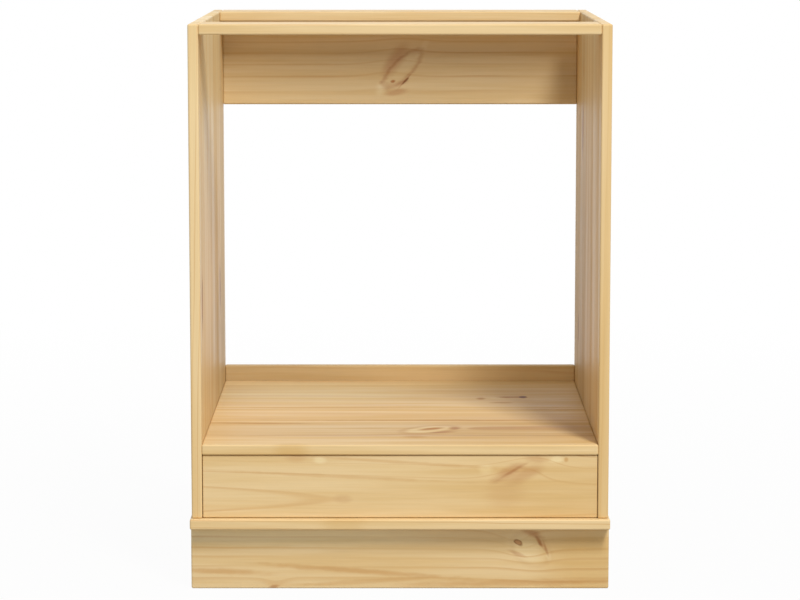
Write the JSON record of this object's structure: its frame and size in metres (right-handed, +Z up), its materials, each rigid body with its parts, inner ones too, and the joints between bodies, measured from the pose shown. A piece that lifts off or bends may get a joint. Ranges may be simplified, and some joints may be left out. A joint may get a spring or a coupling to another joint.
{
  "type": "oven housing base cabinet",
  "caption": "Pine kitchen base cabinet for a built-in oven: open niche between side panels, flat top rails, oven shelf, set-back plinth and a push-open tray drawer on ball slides.",
  "frame": {"origin": "on the floor, under the middle of the base plate, which is the widest and deepest board", "axes": "+Z up, +X to the viewer's right, -Y to the front, where the drawer opens"},
  "size_m": [0.6, 0.6, 0.81],
  "materials": {
    "lacquered_pine": "clear satin lacquer on edge-glued solid pine",
    "birch_plywood": "unfinished birch plywood",
    "beech_dowel": "fluted beech, unfinished",
    "cast_zinc": "matt zinc die casting",
    "zinc_plated_steel": "bright zinc plate",
    "bearing_steel": "polished steel balls",
    "grey_plastic": "moulded grey plastic",
    "black_rubber": "soft black rubber"
  },
  "bodies": {
    "carcass": {"left_side_panel": "lacquered_pine", "right_side_panel": "lacquered_pine", "base_plate": "lacquered_pine", "oven_shelf": "lacquered_pine", "top_front_rail": "lacquered_pine", "top_back_rail": "lacquered_pine", "upper_back_board": "lacquered_pine", "lower_back_board": "lacquered_pine", "plinth_front": "lacquered_pine", "plinth_back": "lacquered_pine", "plinth_left": "lacquered_pine", "plinth_right": "lacquered_pine", "cam_locks": "cast_zinc", "cam_bolts": "zinc_plated_steel", "carcass_dowels": "beech_dowel", "base_screws": "zinc_plated_steel", "plinth_dowels": "beech_dowel", "plinth_brackets": "zinc_plated_steel", "plinth_bracket_screws": "zinc_plated_steel", "left_slide_rail": "zinc_plated_steel", "right_slide_rail": "zinc_plated_steel", "slide_rail_screws": "zinc_plated_steel", "latch_housing": "grey_plastic", "latch_screws": "zinc_plated_steel", "latch_spring": "zinc_plated_steel"},
    "drawer": {"drawer_front": "lacquered_pine", "drawer_box_front": "lacquered_pine", "drawer_left_side": "lacquered_pine", "drawer_right_side": "lacquered_pine", "drawer_back": "lacquered_pine", "drawer_bottom": "birch_plywood", "drawer_front_screws": "zinc_plated_steel", "drawer_corner_screws": "zinc_plated_steel", "drawer_bottom_screws": "zinc_plated_steel", "left_slide_runner": "zinc_plated_steel", "right_slide_runner": "zinc_plated_steel", "slide_runner_screws": "zinc_plated_steel", "strike_plate": "zinc_plated_steel", "strike_plate_screws": "zinc_plated_steel"},
    "slide_cages": {"left_ball_cages": "zinc_plated_steel", "right_ball_cages": "zinc_plated_steel", "left_slide_balls": "bearing_steel", "right_slide_balls": "bearing_steel"},
    "plunger": {"latch_plunger": "grey_plastic", "plunger_tip": "black_rubber"}
  },
  "joints": [
    {"name": "drawer_slide", "type": "slide", "parent": "carcass", "child": "drawer", "axis": [0, -1, 0], "range_m": [0, 0.333]},
    {"name": "cage_slide", "type": "slide", "parent": "carcass", "child": "slide_cages", "axis": [0, -1, 0], "range_m": [0, 0.1665]},
    {"name": "plunger_slide", "type": "slide", "parent": "carcass", "child": "plunger", "axis": [0, -1, 0], "range_m": [0, 0.038], "deforming": ["latch_spring"]}
  ],
  "couplings": [
    {"joint": "cage_slide", "follows": "drawer_slide", "ratio": 0.5},
    {"joint": "plunger_slide", "follows": "drawer_slide", "ratio": 0.1127}
  ]
}
